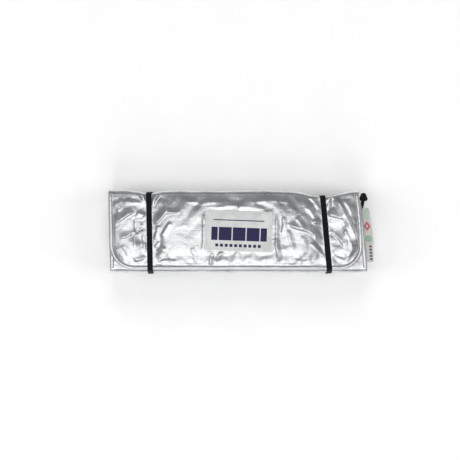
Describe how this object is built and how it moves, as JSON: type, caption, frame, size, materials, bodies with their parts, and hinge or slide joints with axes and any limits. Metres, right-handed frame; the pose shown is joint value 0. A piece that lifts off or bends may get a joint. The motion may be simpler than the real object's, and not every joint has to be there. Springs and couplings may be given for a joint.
{
  "type": "folding foam pad",
  "caption": "Foil-faced closed-cell foam pad, folded like a concertina into a slim packet and held shut by elastic bands.",
  "frame": {"origin": "centre of the underside of the lowest panel, on the surface that the packet lies on", "axes": "+X along the packet towards the care tag, +Y towards the fold of the front flap, +Z out of the flap's printed face"},
  "size_m": [0.2244, 0.0718, 0.0255],
  "materials": {
    "foil_skin": "aluminised ripstop laminate, bright and crinkled",
    "foam": "pale closed-cell foam",
    "edge_binding": "bright foil tape, folded and stitched",
    "elastic": "matte black braided elastic",
    "label": "matte coated patch with dark blue print",
    "care_tag": "thin printed ribbon, folded double"
  },
  "bodies": {
    "panel_1": {"panel_1_foam_core": "foam", "panel_1_upper_skin": "foil_skin", "panel_1_lower_skin": "foil_skin", "panel_1_edge_binding": "edge_binding", "fold_cover_1": "foil_skin"},
    "panel_2": {"panel_2_foam_core": "foam", "panel_2_upper_skin": "foil_skin", "panel_2_lower_skin": "foil_skin", "panel_2_edge_binding": "edge_binding", "fold_cover_2": "foil_skin"},
    "panel_3": {"panel_3_foam_core": "foam", "panel_3_upper_skin": "foil_skin", "panel_3_lower_skin": "foil_skin", "panel_3_edge_binding": "edge_binding", "fold_cover_3": "foil_skin"},
    "panel_4": {"panel_4_foam_core": "foam", "panel_4_upper_skin": "foil_skin", "panel_4_lower_skin": "foil_skin", "panel_4_edge_binding": "edge_binding", "fold_cover_4": "foil_skin"},
    "panel_5": {"panel_5_foam_core": "foam", "panel_5_upper_skin": "foil_skin", "panel_5_lower_skin": "foil_skin", "panel_5_edge_binding": "edge_binding", "fold_cover_5": "foil_skin", "care_tag": "care_tag", "hang_tail": "elastic", "hang_knot": "elastic"},
    "panel_6": {"panel_6_foam_core": "foam", "panel_6_upper_skin": "foil_skin", "panel_6_lower_skin": "foil_skin", "panel_6_edge_binding": "edge_binding", "fold_cover_6": "foil_skin"},
    "panel_7": {"panel_7_foam_core": "foam", "panel_7_upper_skin": "foil_skin", "panel_7_lower_skin": "foil_skin", "panel_7_edge_binding": "edge_binding", "label_patch": "label"},
    "left_band": {"left_elastic_band": "elastic"},
    "right_band": {"right_elastic_band": "elastic"}
  },
  "joints": [
    {"name": "unfold", "type": "hinge", "parent": "panel_1", "child": "panel_2", "pos_m": [0, -0.031, 0.0034], "axis": [1, 0, 0], "range_deg": [0, 180], "deforming": ["fold_cover_1", "left_elastic_band", "right_elastic_band"]},
    {"name": "fold_2", "type": "hinge", "parent": "panel_2", "child": "panel_3", "pos_m": [0, 0.031, 0.0069], "axis": [1, 0, 0], "range_deg": [-180, 0], "deforming": ["fold_cover_2"]},
    {"name": "fold_3", "type": "hinge", "parent": "panel_3", "child": "panel_4", "pos_m": [0, -0.031, 0.0104], "axis": [1, 0, 0], "range_deg": [0, 180], "deforming": ["fold_cover_3"]},
    {"name": "fold_4", "type": "hinge", "parent": "panel_4", "child": "panel_5", "pos_m": [0, 0.031, 0.0139], "axis": [1, 0, 0], "range_deg": [-180, 0], "deforming": ["fold_cover_4"]},
    {"name": "fold_5", "type": "hinge", "parent": "panel_5", "child": "panel_6", "pos_m": [0, -0.031, 0.0174], "axis": [1, 0, 0], "range_deg": [0, 180], "deforming": ["fold_cover_5"]},
    {"name": "fold_6", "type": "hinge", "parent": "panel_6", "child": "panel_7", "pos_m": [0, 0.031, 0.0209], "axis": [1, 0, 0], "range_deg": [-180, 0], "deforming": ["fold_cover_6"]},
    {"name": "left_band_slide", "type": "slide", "parent": "panel_1", "child": "left_band", "axis": [-1, 0, 0], "range_m": [0, 0.05]},
    {"name": "right_band_slide", "type": "slide", "parent": "panel_1", "child": "right_band", "axis": [1, 0, 0], "range_m": [0, 0.055]}
  ],
  "couplings": [
    {"joint": "fold_2", "follows": "unfold", "ratio": -1},
    {"joint": "fold_3", "follows": "unfold", "ratio": 1},
    {"joint": "fold_4", "follows": "unfold", "ratio": -1},
    {"joint": "fold_5", "follows": "unfold", "ratio": 1},
    {"joint": "fold_6", "follows": "unfold", "ratio": -1}
  ]
}
